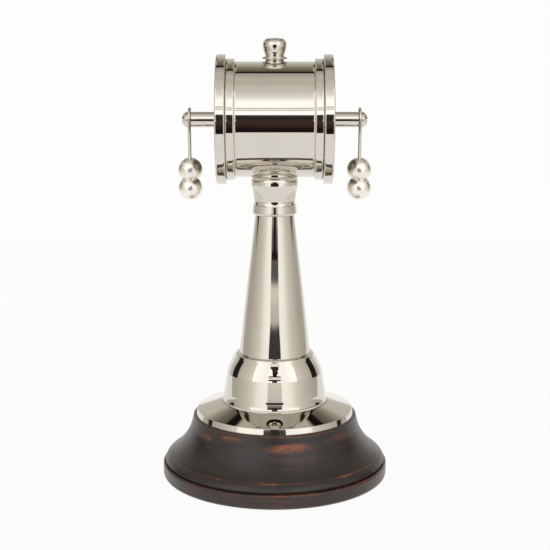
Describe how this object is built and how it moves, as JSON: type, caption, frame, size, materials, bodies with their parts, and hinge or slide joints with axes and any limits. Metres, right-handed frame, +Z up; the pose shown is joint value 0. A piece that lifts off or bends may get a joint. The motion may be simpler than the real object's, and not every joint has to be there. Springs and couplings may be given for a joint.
{
  "type": "binnacle compass",
  "caption": "Desk binnacle compass shaped like a ship telegraph: glazed drum with a dial and needle at each end, hanging levers, tapered nickel column and turned wood base.",
  "frame": {"origin": "centre of the flat face that the base stands on", "axes": "+Z up the column, +X along the drum and the lever shafts, +Y to the back"},
  "size_m": [0.1868, 0.1868, 0.36],
  "materials": {
    "nickel": "polished nickel plate",
    "wood": "dark stained, rubbed through at the edges",
    "felt": "green felt",
    "steel": "zinc plated",
    "screw_steel": "nickel plated screw",
    "brass": "turned brass",
    "rubber": "matt black",
    "glass": "clear flat glass",
    "dial": "ivory enamel with printed rose and degree ring",
    "needle": "blued steel with a red north end",
    "pointer": "black enamel"
  },
  "bodies": {
    "stand": {"base_disc": "wood", "base_flange": "nickel", "base_moulding": "wood", "bearing_plate_left": "brass", "bearing_plate_right": "brass", "bezel_left": "nickel", "bezel_right": "nickel", "bush_left": "brass", "bush_right": "brass", "column": "nickel", "dial_left": "dial", "dial_right": "dial", "dial_screws_left": "brass", "dial_screws_right": "brass", "dial_seat_ring_left": "brass", "dial_seat_ring_right": "brass", "drum_barrel": "nickel", "end_ring_left": "nickel", "end_ring_right": "nickel", "felt_pad": "felt", "finial": "nickel", "finial_nut": "steel", "finial_stud": "steel", "flange_screws": "screw_steel", "glass_gasket_left": "rubber", "glass_gasket_right": "rubber", "glass_left": "glass", "glass_right": "glass", "neck_bead": "nickel", "neck_collar": "nickel", "needle_clip_left": "steel", "needle_clip_right": "steel", "saddle_washer": "brass", "skirt": "nickel", "tie_rod": "steel", "tie_rod_nut_lower": "steel", "tie_rod_nut_upper": "steel", "tie_rod_washer_lower": "steel"},
    "left_lever": {"lever_shaft_left": "nickel", "shaft_collar_left": "brass", "collar_grub_screw_left": "steel", "pointer_left": "pointer", "lever_left": "nickel", "lever_grip_left": "nickel", "lever_screw_left": "nickel"},
    "right_lever": {"lever_shaft_right": "nickel", "shaft_collar_right": "brass", "collar_grub_screw_right": "steel", "pointer_right": "pointer", "lever_right": "nickel", "lever_grip_right": "nickel", "lever_screw_right": "nickel"},
    "left_needle": {"needle_hub_left": "brass", "needle_left": "needle"},
    "right_needle": {"needle_hub_right": "brass", "needle_right": "needle"}
  },
  "joints": [
    {"name": "left_lever_turn", "type": "hinge", "parent": "stand", "child": "left_lever", "pos_m": [-0.0681, 0, 0.2955], "axis": [1, 0, 0], "continuous": true},
    {"name": "left_needle_swing", "type": "hinge", "parent": "stand", "child": "left_needle", "pos_m": [-0.0357, 0, 0.2955], "axis": [1, 0, 0], "continuous": true},
    {"name": "right_lever_turn", "type": "hinge", "parent": "stand", "child": "right_lever", "pos_m": [0.0681, 0, 0.2955], "axis": [1, 0, 0], "continuous": true},
    {"name": "right_needle_swing", "type": "hinge", "parent": "stand", "child": "right_needle", "pos_m": [0.0357, 0, 0.2955], "axis": [1, 0, 0], "continuous": true}
  ]
}
